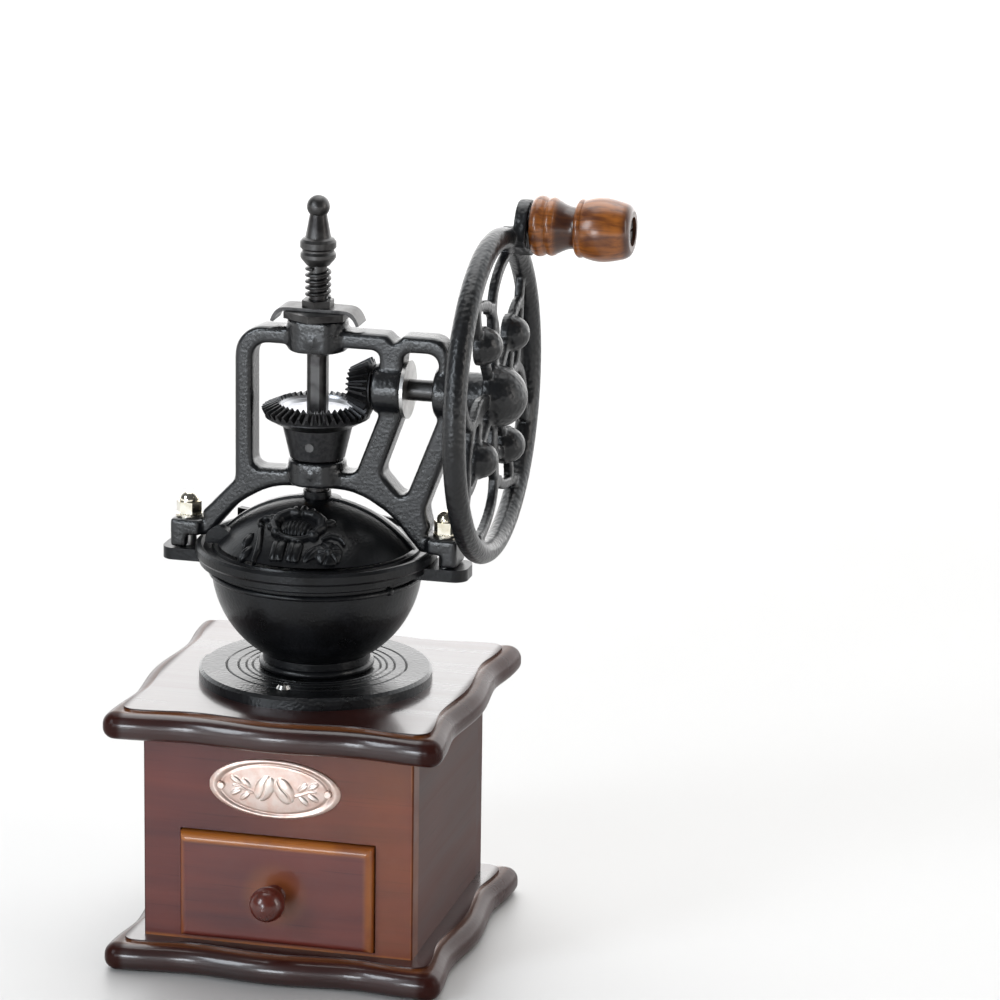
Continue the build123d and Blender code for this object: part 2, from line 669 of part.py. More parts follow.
with BuildPart() as acorn_nuts:
    for x in (-STUD_X, STUD_X):
        with BuildSketch(Plane.XY.offset(WASHER_TOP)):
            with Locations((x, 0)):
                RegularPolygon(4.3, 6)
        extrude(amount=4.1)
        with Locations((x, 0, WASHER_TOP + 4.4)):
            Sphere(3.3)
        with BuildSketch(Plane.XY.offset(WASHER_TOP)):
            with Locations((x, 0)):
                Circle(STUD_R)
        extrude(amount=STUD_TOP - WASHER_TOP, mode=Mode.SUBTRACT)
save(acorn_nuts, "acorn_nuts")

# --- Burrs and spindle -----------------------------------------------------------------------

with BuildPart() as outer_burr:
    revolve(
        profile([
            (BURR_SEAT_R, BURR_LOW), (BURR_SEAT_R, 97.0), (13.0, 97.0), (10.3, 89.0), (12.2, BURR_LOW),
        ]),
        axis=Axis.Z,
    )
    with BuildSketch(Plane.XY.offset(BURR_LOW)):
        with PolarLocations(12.4, 16):
            Rectangle(1.6, 1.0)
    extrude(amount=17.0, mode=Mode.SUBTRACT)
save(outer_burr, "outer_burr")

BURR_BOTTOM = 81.0
with BuildPart() as inner_burr:
    revolve(
        profile([
            (SPINDLE_R, BURR_BOTTOM), (11.6, BURR_BOTTOM), (9.6, 89.0), (5.6, 97.0), (SPINDLE_R, 97.0),
        ]),
        axis=Axis.Z,
    )
    with BuildSketch(Plane.XY.offset(BURR_BOTTOM)):
        with PolarLocations(10.4, 9):
            Rectangle(3.4, 1.2, rotation=25)
    extrude(amount=16.0, mode=Mode.SUBTRACT)
save(inner_burr, "inner_burr")

with BuildPart() as burr_nut:
    with BuildSketch(Plane.XY.offset(BURR_BOTTOM - 4.0)):
        RegularPolygon(5.8, 6)
        Circle(SPINDLE_R, mode=Mode.SUBTRACT)
    extrude(amount=4.0)
save(burr_nut, "burr_nut")

KEYED = (163.0, 199.0)
SPINDLE_TOP = 240.0
SHOULDER = HEX_PLATE[1] - 0.8
with BuildPart() as spindle:
    with BuildSketch(Plane.XY.offset(BURR_BOTTOM - 5.5)):
        Circle(SPINDLE_R)
    extrude(amount=SHOULDER - BURR_BOTTOM + 5.5)
    with BuildSketch(Plane.XY.offset(KEYED[0])):
        Circle(SPINDLE_R + 1)
        Rectangle(2 * FLAT, 2 * FLAT, mode=Mode.SUBTRACT)
    extrude(amount=KEYED[1] - KEYED[0], mode=Mode.SUBTRACT)
    with BuildSketch(Plane.XY.offset(SHOULDER)):
        Circle(THREAD_R)
    extrude(amount=SPINDLE_TOP - SHOULDER)
save(spindle, "spindle")

# --- Bevel gears -------------------------------------------------------------------------------

APEX = Vector(0, 0, CRANK_Z)


def tooth_ring(teeth, cone_angle, distance, scale, turned_by):
    """Points of one section of a straight bevel gear, at a distance from the apex."""
    tip = distance * tan(cone_angle + MODULE / CONE)
    root = distance * tan(cone_angle - 1.25 * MODULE / CONE)
    pitch_r = MODULE * teeth / 2
    half = MODULE * pi / 4 - TOOTH_SLACK / 2
    tip_half = (half - MODULE * tan(PRESSURE)) / pitch_r
    root_half = (half + 1.25 * MODULE * tan(PRESSURE)) / pitch_r
    points = []
    for tooth in range(teeth):
        middle = 2 * pi * tooth / teeth + turned_by
        for radius, angle in (
            (root, middle - root_half),
            (tip, middle - tip_half),
            (tip, middle + tip_half),
            (root, middle + root_half),
        ):
            points.append((scale * radius * cos(angle), scale * radius * sin(angle)))
    return points


def toothed_cone(teeth, cone_angle, plane, turned_by):
    """All the teeth of a bevel gear as one solid whose edges run to the apex."""
    near = 3.0
    far = 14.0 if teeth == CROWN_TEETH else 24.0
    with BuildPart() as cone:
        for distance in (far, near):
            with BuildSketch(plane.offset(distance)):
                with BuildLine():
                    Polyline(*tooth_ring(teeth, cone_angle, distance, 1.0, turned_by), close=True)
                make_face()
        loft(ruled=True)
    return cone.part


CROWN_ANGLE = atan2(PITCH_R, PINION_PITCH_R)
PINION_ANGLE = atan2(PINION_PITCH_R, PITCH_R)


def blank_points(pitch_r, pitch_depth, cone_angle, face):
    """Outer and inner ends of a gear's face, as (radius, depth below the apex)."""
    radial = Vector(cos(cone_angle), -sin(cone_angle))
    heel = Vector(pitch_r, pitch_depth)
    toe = heel * (1 - face / CONE)
    tip_out = heel + radial * (MODULE + 0.3)
    root_out = heel - radial * (1.25 * MODULE + 0.6)
    tip_in = toe + radial * (MODULE + 0.3)
    root_in = toe - radial * (1.25 * MODULE + 0.6)
    return tip_out, root_out, root_in, tip_in


with BuildPart() as crown_gear:
    tip_out, root_out, root_in, tip_in = blank_points(PITCH_R, PINION_PITCH_R, CROWN_ANGLE, CROWN_FACE)
    band = revolve(
        profile([
            (tip_out.X, CRANK_Z - tip_out.Y), (root_out.X, CRANK_Z - root_out.Y),
            (root_in.X, CRANK_Z - root_in.Y), (tip_in.X, CRANK_Z - tip_in.Y),
        ]),
        axis=Axis.Z, mode=Mode.PRIVATE,
    )
    down = Plane(APEX, x_dir=(1, 0, 0), z_dir=(0, 0, -1))
    add(band & toothed_cone(CROWN_TEETH, CROWN_ANGLE, down, pi / CROWN_TEETH))
    heel_low = CRANK_Z - root_out.Y
    toe_low = CRANK_Z - root_in.Y
    revolve(
        profile([
            (SPINDLE_R - 1, 165.0), (9.1, 165.0), (11.5, 175.4), (root_out.X, heel_low - 0.4),
            (root_out.X, heel_low), (root_in.X, toe_low), (root_in.X - 0.5, toe_low),
            (root_in.X - 1.3, toe_low - 1.0), (SPINDLE_R - 1, toe_low - 1.9),
        ]),
        axis=Axis.Z,
    )
    with BuildSketch(Plane.XY.offset(164.0)):
        Circle(SPINDLE_R + RUNNING)
        Rectangle(2 * (FLAT + RUNNING), 2 * (FLAT + RUNNING), mode=Mode.INTERSECT)
    extrude(amount=30, mode=Mode.SUBTRACT)
    with BuildSketch(Plane.XZ.offset(FLAT + RUNNING)):
        with Locations((0, 170.0)):
            Circle(1.5)
    extrude(amount=8, mode=Mode.SUBTRACT)
save(crown_gear, "crown_gear")

with BuildPart() as gear_set_screw:
    with BuildSketch(Plane.XZ.offset(FLAT + 2 * RUNNING)):
        with Locations((0, 170.0)):
            Circle(1.5)
    extrude(amount=6.5)
save(gear_set_screw, "gear_set_screw")

with BuildPart() as pinion:
    tip_out, root_out, root_in, tip_in = blank_points(PINION_PITCH_R, PITCH_R, PINION_ANGLE, PINION_FACE)
    shaft_axis = Axis((0, 0, CRANK_Z), (1, 0, 0))
    side_plane = Plane((0, 0, CRANK_Z), x_dir=(1, 0, 0), z_dir=(0, -1, 0))
    band = revolve(
        profile([(p.Y, p.X) for p in (tip_out, root_out, root_in, tip_in)], plane=side_plane),
        axis=shaft_axis, mode=Mode.PRIVATE,
    )
    along = Plane(APEX, x_dir=(0, 0, -1), z_dir=(1, 0, 0))
    add(band & toothed_cone(PINION_TEETH, PINION_ANGLE, along, 0.0))
    revolve(
        profile([
            (root_in.Y - 0.2, SHAFT_R), (root_in.Y, root_in.X), (root_out.Y, root_out.X),
            (19.2, root_out.X), (19.2, SHAFT_R),
        ], plane=side_plane),
        axis=shaft_axis,
    )
save(pinion, "pinion")

# --- Crank shaft and hand wheel -------------------------------------------------------------------

SHAFT_START = 11.2
SHAFT_END = 62.0

with BuildPart() as crank_shaft:
    with BuildSketch(CRANK_PLANE.offset(SHAFT_START)):
        Circle(SHAFT_R)
    extrude(amount=SHAFT_END - SHAFT_START)
    chamfer(crank_shaft.edges().filter_by(GeomType.CIRCLE), 0.5)
save(crank_shaft, "crank_shaft")

save(tube(9.6, SHAFT_R, INNER_BOSS[1] + 0.4, INNER_BOSS[1] + 1.5, CRANK_PLANE), "shaft_collar")


def quadrant_line(points, quadrant):
    """Points of one scroll, turned about the hub to its quadrant."""
    return [Vector(*p).rotate(Axis.Z, 90 * quadrant) for p in points]


OUTER_SCROLL = [(0, 8), (-2.4, 24), (-1.8, 33), (4, 39), (19, 43.5)]
INNER_SCROLL = [(8, 0), (29, 4.6), (33, 13), (35.2, 27), (38.5, 34.5)]
BUD_STEM = [(20.4, 16.1), (27, 22), (34.5, 24)]
DOME_STEM = [(7, 6), (14, 11.5), (20.4, 16.1)]
TENDRIL = [(-2.2, 24), (-4.6, 30), (-9.6, 30.4)]
LEAF_CENTRE = (20.6, 6.8)
LEAF_SIZE = (2.2, 4.4)

with BuildPart() as hand_wheel:
    with Locations(Location((WHEEL_X, 0, CRANK_Z), (0, 90, 0))):
        Torus(WHEEL_R, RIM_SECTION_R)
    with BuildSketch(CRANK_PLANE.offset(BAR_LOW_X)):
        for quadrant in range(4):
            for scroll in (OUTER_SCROLL, INNER_SCROLL, BUD_STEM, DOME_STEM, TENDRIL):
                with BuildLine():
                    Spline(*quadrant_line(scroll, quadrant))
                trace(line_width=BAR_WIDTH)
            with Locations(Vector(*LEAF_CENTRE).rotate(Axis.Z, 90 * quadrant)):
                Ellipse(*LEAF_SIZE, rotation=90 * quadrant - 24)
        with PolarLocations(DOME_ORBIT, 4, start_angle=DOME_ANGLE):
            Circle(SMALL_DOME_R + DOME_LEDGE)
        Circle(HUB_DOME_R + DOME_LEDGE)
    extrude(amount=BAR_THICK)
    with BuildSketch(CRANK_PLANE.offset(OUTER_BOSS[1] + 0.5)):
        Circle(7.2)
    extrude(amount=BAR_LOW_X - OUTER_BOSS[1])
    bosses = [(0, 0, HUB_DOME_R)]
    for quadrant in range(4):
        angle = radians(DOME_ANGLE + 90 * quadrant)
        bosses.append((DOME_ORBIT * cos(angle), DOME_ORBIT * sin(angle), SMALL_DOME_R))
    for y, z, radius in bosses:
        base = BAR_LOW_X + BAR_THICK - DOME_SINK
        with BuildSketch(Plane((base, y, CRANK_Z + z), x_dir=(1, 0, 0), z_dir=(0, -1, 0))):
            with BuildLine():
                quarter = CenterArc((0, 0), radius, 0, 90)
                Polyline(quarter @ 1, (0, 0), quarter @ 0)
            make_face()
        revolve(axis=Axis((base, y, CRANK_Z + z), (1, 0, 0)))
    with BuildSketch(CRANK_PLANE.offset(EAR_X[0])):
        outward = Vector(1, 0).rotate(Axis.Z, HANDLE_ANGLE)
        with BuildLine():
            Line(outward * (WHEEL_R - 2), outward * HANDLE_ORBIT)
        trace(line_width=2 * EAR_R)
        with Locations(outward * HANDLE_ORBIT):
            Circle(EAR_R)
    extrude(amount=EAR_X[1] - EAR_X[0])
    with BuildSketch(CRANK_PLANE.offset(BAR_LOW_X)):
        with BuildLine():
            Line(outward * (WHEEL_R - 3), outward * (WHEEL_R + 4))
        trace(line_width=2 * EAR_R - 4)
    extrude(amount=EAR_X[1] - BAR_LOW_X)
    with BuildSketch(CRANK_PLANE.offset(OUTER_BOSS[1])):
        Circle(SHAFT_R)
    extrude(amount=SHAFT_END + 0.2 - OUTER_BOSS[1], mode=Mode.SUBTRACT)
    with BuildSketch(CRANK_PLANE.offset(EAR_X[0])):
        with Locations(outward * HANDLE_ORBIT):
            Circle(GRIP_PIN_R)
    extrude(amount=EAR_X[1] - EAR_X[0], mode=Mode.SUBTRACT)
save(hand_wheel, "hand_wheel")

HANDLE_PLANE = Plane((0, HANDLE_Y, HANDLE_Z), x_dir=(0, 1, 0), z_dir=(1, 0, 0))
GRIP_END = GRIP_X + GRIP_LENGTH
with BuildPart() as handle_pin:
    with BuildSketch(HANDLE_PLANE.offset(EAR_X[0])):
        Circle(GRIP_PIN_R)
    extrude(amount=GRIP_END - 3.2 - EAR_X[0])
    with BuildSketch(HANDLE_PLANE.offset(GRIP_END - 3.2)):
        Circle(4.4)
    extrude(amount=2.2)
    with BuildSketch(HANDLE_PLANE.offset(GRIP_END - 1.0)):
        Rectangle(10, 0.9)
    extrude(amount=-1.0, mode=Mode.SUBTRACT)
save(handle_pin, "handle_pin")

GRIP_BEADS = [
    [(0.0, 8.8), (2.2, 10.0), (4.3, 9.3)],
    [(4.9, 9.1), (6.4, 9.6), (7.9, 8.9)],
    [(8.3, 8.7), (11.2, 7.3), (13.6, 6.9), (14.6, 7.1)],
    [(14.6, 8.8), (15.6, 9.6), (16.8, 9.3)],
    [(17.2, 9.5), (22.6, 10.5), (29.0, 9.5), (32.8, 6.6)],
]
with BuildPart() as handle_grip:
    with BuildSketch(Plane((0, HANDLE_Y, HANDLE_Z), x_dir=(1, 0, 0), z_dir=(0, -1, 0))):
        with BuildLine():
            outline = [[(GRIP_X + x, radius) for x, radius in bead] for bead in GRIP_BEADS]
            for bead, following in zip(outline, outline[1:]):
                Spline(*bead)
                Line(bead[-1], following[0])
            Spline(*outline[-1], tangents=[(1, 0.35), (0.25, -1)])
            bore = GRIP_PIN_R + RUNNING
            Polyline(
                outline[-1][-1], (GRIP_END, 4.8), (GRIP_END - 3.3, 4.8), (GRIP_END - 3.3, bore),
                (GRIP_X, bore), outline[0][0],
            )
        make_face()
    revolve(axis=Axis((0, HANDLE_Y, HANDLE_Z), (1, 0, 0)))
save(handle_grip, "handle_grip")

# --- Adjuster ------------------------------------------------------------------------------------

with BuildPart() as lock_leaf:
    with BuildSketch(Plane.XZ):
        with BuildLine():
            for side in (-1, 1):
                tip_low = LEAF_Z - 4.0
                Spline(
                    (side * 8.6, LEAF_Z), (side * 11.8, LEAF_Z - 0.9), (side * 14.0, tip_low),
                    tangents=[(side, 0), (side * 0.35, -1)],
                )
                Line((side * 14.0, tip_low), (side * 15.0, tip_low + 0.3))
                Spline(
                    (side * 15.0, tip_low + 0.3), (side * 12.5, LEAF_Z + 0.3),
                    (side * 8.6, LEAF_Z + LEAF_THICK),
                    tangents=[(-side * 0.35, 1), (-side, 0)],
                )
            Line((-8.6, LEAF_Z), (8.6, LEAF_Z))
            Line((-8.6, LEAF_Z + LEAF_THICK), (8.6, LEAF_Z + LEAF_THICK))
        make_face()
    extrude(amount=LEAF_HALF_DEPTH, both=True)
    with BuildSketch(Plane.XY.offset(LEAF_Z - 1)):
        Circle(THREAD_R + 0.4)
    extrude(amount=4, mode=Mode.SUBTRACT)
save(lock_leaf, "lock_leaf")

LOCK_NUT_LOW = LEAF_Z + LEAF_THICK
with BuildPart() as lock_nut:
    with BuildSketch(Plane.XY.offset(LOCK_NUT_LOW)):
        RegularPolygon(5.4, 6, rotation=30)
        Circle(THREAD_R + 0.3, mode=Mode.SUBTRACT)
    extrude(amount=SPRING_LOW - LOCK_NUT_LOW - 0.1)
save(lock_nut, "lock_nut")

with BuildPart() as lift_spring:
    coil_pitch = 2.1
    coil_height = SPRING_HIGH - SPRING_LOW - 2 * SPRING_WIRE_R
    with BuildLine() as coil:
        Helix(coil_pitch, coil_height, SPRING_R, center=(0, 0, SPRING_LOW + SPRING_WIRE_R))
    with BuildSketch(Plane(coil.line @ 0, z_dir=coil.line % 0)):
        Circle(SPRING_WIRE_R)
    sweep(path=coil.line, is_frenet=True)
save(lift_spring, "lift_spring")

with BuildPart() as finial:
    ball_z = 248.3
    ball_r = 3.75
    with BuildSketch(Plane.XZ):
        with BuildLine():
            neck_r = 2.8
            neck_z = ball_z - sqrt(ball_r**2 - neck_r**2)
            Polyline(
                (0, ball_z + ball_r), (0, FINIAL_LOW), (3.8, FINIAL_LOW), (5.3, 230.8), (5.8, 231.6),
                (5.8, 232.8), (5.2, 233.6), (5.2, 234.2), (5.9, 234.9), (5.9, 236.8), (5.2, 237.7),
                (4.2, 238.2), (neck_r, neck_z),
            )
            ThreePointArc((neck_r, neck_z), (ball_r, ball_z), (0, ball_z + ball_r))
        make_face()
    revolve(axis=Axis.Z)
    with BuildSketch(Plane.XY.offset(FINIAL_LOW)):
        Circle(THREAD_R + RUNNING)
    extrude(amount=SPINDLE_TOP + 1.5 - FINIAL_LOW, mode=Mode.SUBTRACT)
save(finial, "finial")
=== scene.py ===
from math import cos, hypot, radians, sin

import bpy
import numpy as np
from mathutils import Matrix, Vector
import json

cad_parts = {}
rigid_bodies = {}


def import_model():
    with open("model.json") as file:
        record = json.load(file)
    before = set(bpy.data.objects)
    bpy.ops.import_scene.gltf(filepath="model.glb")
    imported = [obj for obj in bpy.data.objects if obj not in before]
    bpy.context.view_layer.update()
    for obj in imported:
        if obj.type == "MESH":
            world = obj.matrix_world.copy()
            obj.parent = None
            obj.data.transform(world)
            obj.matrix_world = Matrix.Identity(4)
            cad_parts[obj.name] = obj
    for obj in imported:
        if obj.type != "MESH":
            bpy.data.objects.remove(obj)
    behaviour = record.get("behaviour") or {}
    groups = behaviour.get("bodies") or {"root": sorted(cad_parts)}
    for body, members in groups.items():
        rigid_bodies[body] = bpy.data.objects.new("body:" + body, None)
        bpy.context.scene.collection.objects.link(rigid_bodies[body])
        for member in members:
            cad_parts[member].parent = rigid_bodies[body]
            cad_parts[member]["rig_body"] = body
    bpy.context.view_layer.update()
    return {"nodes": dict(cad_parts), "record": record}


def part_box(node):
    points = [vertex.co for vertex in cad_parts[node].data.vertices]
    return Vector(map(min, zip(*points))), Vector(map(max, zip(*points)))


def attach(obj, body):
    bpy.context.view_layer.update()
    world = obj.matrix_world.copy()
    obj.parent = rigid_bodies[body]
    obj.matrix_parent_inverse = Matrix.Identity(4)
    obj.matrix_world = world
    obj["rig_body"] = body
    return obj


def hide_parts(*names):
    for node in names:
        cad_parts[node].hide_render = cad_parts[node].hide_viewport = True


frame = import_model()
NODES = frame["nodes"]
MM = 0.001

# --- Materials ---------------------------------------------------------------------


class Shader:
    """One node material: helpers add nodes and return the socket that carries their result."""

    def __init__(self, name):
        self.material = bpy.data.materials.new(name)
        self.material.use_nodes = True
        self.tree = self.material.node_tree
        self.surface = self.tree.nodes["Principled BSDF"]
        self.place = self.node("ShaderNodeTexCoord").outputs["Object"]
        self.normal = None

    def node(self, kind, **settings):
        """A new node, with its properties set."""
        made = self.tree.nodes.new(kind)
        for key, value in settings.items():
            setattr(made, key, value)
        return made

    def feed(self, value, socket):
        """Link a result to a socket, or set the socket to a constant."""
        if isinstance(value, bpy.types.NodeSocket):
            self.tree.links.new(value, socket)
        else:
            socket.default_value = value

    def calc(self, operation, first, second=0.0, third=0.0):
        made = self.node("ShaderNodeMath", operation=operation)
        for value, socket in zip((first, second, third), made.inputs):
            self.feed(value, socket)
        return made.outputs[0]

    def stretched(self, scale):
        made = self.node("ShaderNodeMapping")
        self.feed(self.place, made.inputs["Vector"])
        made.inputs["Scale"].default_value = scale
        return made.outputs[0]

    def noise(self, scale, detail=3.0, roughness=0.55, distortion=0.0):
        """Noise whose size is per metre, along each axis."""
        made = self.node("ShaderNodeTexNoise")
        self.feed(self.stretched(scale), made.inputs["Vector"])
        made.inputs["Scale"].default_value = 1.0
        made.inputs["Detail"].default_value = detail
        made.inputs["Roughness"].default_value = roughness
        made.inputs["Distortion"].default_value = distortion
        return made.outputs["Fac"]

    def pebbles(self, size):
        """Distance to the nearest cell middle, with cells of about this size in metres."""
        made = self.node("ShaderNodeTexVoronoi", feature="SMOOTH_F1")
        self.feed(self.place, made.inputs["Vector"])
        made.inputs["Scale"].default_value = 1.0 / size
        made.inputs["Smoothness"].default_value = 0.6
        return made.outputs["Distance"]

    def spread(self, value, low, high, to_low=0.0, to_high=1.0):
        """Soft step: to_low below low, to_high above high."""
        made = self.node("ShaderNodeMapRange", interpolation_type="SMOOTHSTEP")
        self.feed(value, made.inputs["Value"])
        for name, number in zip(
            ("From Min", "From Max", "To Min", "To Max"), (low, high, to_low, to_high)
        ):
            made.inputs[name].default_value = number
        return made.outputs["Result"]

    def blend(self, share, first, second):
        made = self.node("ShaderNodeMix", data_type="RGBA")
        self.feed(share, made.inputs["Factor"])
        self.feed(first, made.inputs["A"])
        self.feed(second, made.inputs["B"])
        return made.outputs["Result"]

    def parts(self):
        made = self.node("ShaderNodeSeparateXYZ")
        self.feed(self.place, made.inputs[0])
        return made.outputs

    def reach(self, first, second):
        """Length of the vector whose two parts are given."""
        squares = [self.calc("POWER", part, 2.0) for part in (first, second)]
        return self.calc("SQRT", self.calc("ADD", *squares))

    def bump(self, height, distance, strength=1.0):
        made = self.node("ShaderNodeBump")
        self.feed(height, made.inputs["Height"])
        made.inputs["Distance"].default_value = distance
        made.inputs["Strength"].default_value = strength
        if self.normal is not None:
            self.feed(self.normal, made.inputs["Normal"])
        self.normal = made.outputs["Normal"]

    def finish(self, color, roughness, **more):
        self.feed(color, self.surface.inputs["Base Color"])
        self.feed(roughness, self.surface.inputs["Roughness"])
        for name, value in more.items():
            self.feed(value, self.surface.inputs[name.replace("_", " ")])
        if self.normal is not None:
            self.feed(self.normal, self.surface.inputs["Normal"])
        return self.material


def shade(*rgb):
    """Linear colour from 0-255 display values."""
    return tuple(
        c / 255 / 12.92 if c <= 10 else ((c / 255 + 0.055) / 1.055) ** 2.4 for c in rgb
    ) + (1.0,)


BLACKENED = shade(50, 24, 20)
DULL_SHARE = 0.7
COAT_LOST = 0.95
SHINE_LOST = 0.8
GRAIN_ACROSS = 900.0
GRAIN_ALONG = 22.0
BANDS_ACROSS = 70.0
BANDS_ALONG = 5.0
WOOD_PATCHES = 18.0
CAST_DRIFT = 90.0
METAL_STAINS = 120.0


def wood(name, along, deep, warm, amber, gloss=0.3, fade=None, coat=0.5, shine=0.5, dull=None):
    """Stained and lacquered wood. along is the grain's axis, fade gives the share of amber, and
    dull gives the share that is darker, with less lacquer and shine."""
    s = Shader(name)
    fine = [GRAIN_ACROSS] * 3
    fine[along] = GRAIN_ALONG
    broad = [BANDS_ACROSS] * 3
    broad[along] = BANDS_ALONG
    pores = s.noise(fine, 3.0, 0.6)
    bands = s.noise(broad, 4.0, 0.55, 0.6)
    patches = s.noise([WOOD_PATCHES] * 3, 2.0)
    tone = s.calc("MULTIPLY_ADD", bands, 0.65, s.calc("MULTIPLY", patches, 0.45))
    color = s.blend(s.spread(tone, 0.35, 0.75), deep, warm)
    pore_color = tuple(c * 0.35 for c in deep[:3]) + (1.0,)
    color = s.blend(s.spread(pores, 0.56, 0.72, 0.0, 0.45), color, pore_color)
    if fade is not None:
        color = s.blend(fade(s), color, amber)
    if dull is not None:
        darker_share = dull(s)
        color = s.blend(s.calc("MULTIPLY", darker_share, DULL_SHARE), color, BLACKENED)
    s.bump(pores, 0.00004, 0.5)
    roughness = s.spread(bands, 0.3, 0.8, gloss, gloss + 0.1)
    if dull is not None:
        coat = s.calc("MULTIPLY_ADD", darker_share, -COAT_LOST * coat, coat)
        shine = s.calc("MULTIPLY_ADD", darker_share, -SHINE_LOST * shine, shine)
    return s.finish(color, roughness, Coat_Weight=coat, Coat_Roughness=0.1, Specular_IOR_Level=shine)


def casting(name, size, depth, roughness=0.31, color=(0.0035, 0.0037, 0.0042, 1.0), shine=0.5):
    """Satin black paint over a sand-cast surface."""
    s = Shader(name)
    grain = s.pebbles(size)
    drift = s.noise([CAST_DRIFT] * 3, 4.0, 0.6)
    tone = s.blend(s.spread(drift, 0.35, 0.7), color, (0.0075, 0.008, 0.0095, 1.0))
    s.bump(drift, 0.00018, 0.35)
    s.bump(grain, depth, 0.7)
    rough = s.calc("MULTIPLY_ADD", drift, 0.16, roughness - 0.08)
    return s.finish(tone, rough, Specular_IOR_Level=shine)


def metal(name, color, dark, roughness, size=500.0, bump=0.00003):
    """Bare metal with fine marks and slightly darker patches."""
    s = Shader(name)
    marks = s.noise((size, size, size), 3.0, 0.65)
    stains = s.noise([METAL_STAINS] * 3, 3.0, 0.6, 0.4)
    tone = s.blend(s.spread(stains, 0.4, 0.72), color, dark)
    s.bump(marks, bump, 0.6)
    rough = s.calc("MULTIPLY_ADD", marks, 0.25, roughness - 0.12)
    return s.finish(tone, rough, Metallic=1.0)


# DEEP's purple tint is a painted reflection of the pale floor; its dark red-brown is the stain's own
# colour.
DEEP = shade(70, 24, 27)
WARM = shade(110, 45, 36)
AMBER = shade(178, 104, 36)


def panel_fade(node):
    """Amber where the stain is rubbed: thin on the right and lower edges, and a faint warm wash."""
    low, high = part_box(node)

    def fade(s):
        across, _, height = s.parts()
        right = s.spread(across, high[0] - 0.0016, high[0] - 0.0003, 0.0, 0.5)
        foot = s.spread(height, low[2] + 0.0002, low[2] + 0.0013, 0.7, 0.0)
        ragged = s.noise((60.0, 60.0, 60.0), 3.0, 0.6)
        edge = s.calc("MULTIPLY", s.calc("MAXIMUM", right, foot), s.spread(ragged, 0.3, 0.6, 0.45, 1.0))
        wash = s.spread(across, low[0] + 0.1 * (high[0] - low[0]), high[0], 0.0, 0.22)
        return s.calc("MAXIMUM", edge, s.calc("MULTIPLY", wash, s.spread(ragged, 0.3, 0.7, 0.7, 1.0)))

    return fade


def drawer_fade(s):
    """Amber on the drawer front's worn edges, most along the top, and a halo round the knob."""
    low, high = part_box("drawer_front")
    across, _, height = s.parts()
    right = s.spread(across, high[0] - 0.0036, high[0] - 0.0006, 0.0, 0.8)
    left = s.spread(across, low[0] + 0.0003, low[0] + 0.0022, 0.45, 0.0)
    top = s.spread(height, high[2] - 0.0036, high[2] - 0.0022, 0.0, 0.95)
    ragged = s.noise((70.0, 70.0, 70.0), 3.0, 0.6)
    edge = s.calc("MAXIMUM", s.calc("MAXIMUM", right, left), top)
    edge = s.calc("MULTIPLY", edge, s.spread(ragged, 0.3, 0.6, 0.5, 1.0))
    knob_low, knob_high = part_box("drawer_knob")
    centre = (knob_low + knob_high) / 2
    reach = s.reach(s.calc("SUBTRACT", across, centre[0]), s.calc("SUBTRACT", height, centre[2]))
    halo = s.spread(reach, 0.004, 0.013, 0.35, 0.0)
    return s.calc("MAXIMUM", edge, halo)


def board_fade(node):
    """A thin warm line where the board's flat field meets its rounded edge."""
    _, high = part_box(node)

    def fade(s):
        height = s.parts()[2]
        step = s.calc("ABSOLUTE", s.calc("SUBTRACT", height, high[2] - 0.0008))
        return s.spread(step, 0.0, 0.0005, 0.3, 0.0)

    return fade


BOARD_NOSE = 0.0488
PANEL_END = 0.0453


def side_noses(s):
    """One on a board's left and right edges, which are darker and have less lacquer and shine."""
    return s.spread(s.calc("ABSOLUTE", s.parts()[0]), BOARD_NOSE, BOARD_NOSE + 0.0027)


def panel_ends(s):
    """One on the front panel's end faces, which take the side panels' dull finish."""
    return s.spread(s.calc("ABSOLUTE", s.parts()[0]), PANEL_END - 0.0003, PANEL_END)


def turned_wood(name):
    """Lacquered beech handle: darker rings wherever it is thinner, as in its grooves and neck, and
    streaks along its axis.
    """
    s = Shader(name)
    low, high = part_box("handle_grip")
    centre = (low + high) / 2
    streaks = s.noise((30.0, 500.0, 500.0), 4.0, 0.6, 0.5)
    patches = s.noise((80.0, 80.0, 80.0), 3.0, 0.6)
    tone = s.calc("MULTIPLY_ADD", streaks, 0.6, s.calc("MULTIPLY", patches, 0.4))
    color = s.blend(s.spread(tone, 0.36, 0.66), shade(84, 40, 14), shade(158, 92, 32))
    _, along, height = s.parts()
    reach = s.reach(s.calc("SUBTRACT", along, centre[1]), s.calc("SUBTRACT", height, centre[2]))
    groove = s.spread(reach, 0.0082, 0.0096, 0.85, 0.0)
    color = s.blend(groove, color, shade(46, 18, 9))
    s.bump(streaks, 0.00005, 0.5)
    return s.finish(color, 0.32, Coat_Weight=0.3, Coat_Roughness=0.12)


PLATE_CREST_Y = -0.0468
PLATE_VALLEY_Y = -0.0462


def copper_plate(name):
    """Pale copper, darker in the valleys of its relief."""
    s = Shader(name)
    darker_share = s.noise((260.0, 260.0, 260.0), 4.0, 0.6)
    grain = s.noise((1600.0, 1600.0, 1600.0), 3.0, 0.6)
    depth = s.spread(s.parts()[1], PLATE_CREST_Y, PLATE_VALLEY_Y, 0.0, 1.0)
    color = s.blend(s.spread(darker_share, 0.35, 0.7), shade(252, 239, 230), shade(240, 212, 198))
    color = s.blend(s.calc("MULTIPLY", depth, 0.45), color, shade(150, 98, 80))
    s.bump(grain, 0.00005, 0.7)
    return s.finish(color, 0.34, Metallic=0.85)


DISH_R = 0.0126
DISH_DEPTH = 0.0052


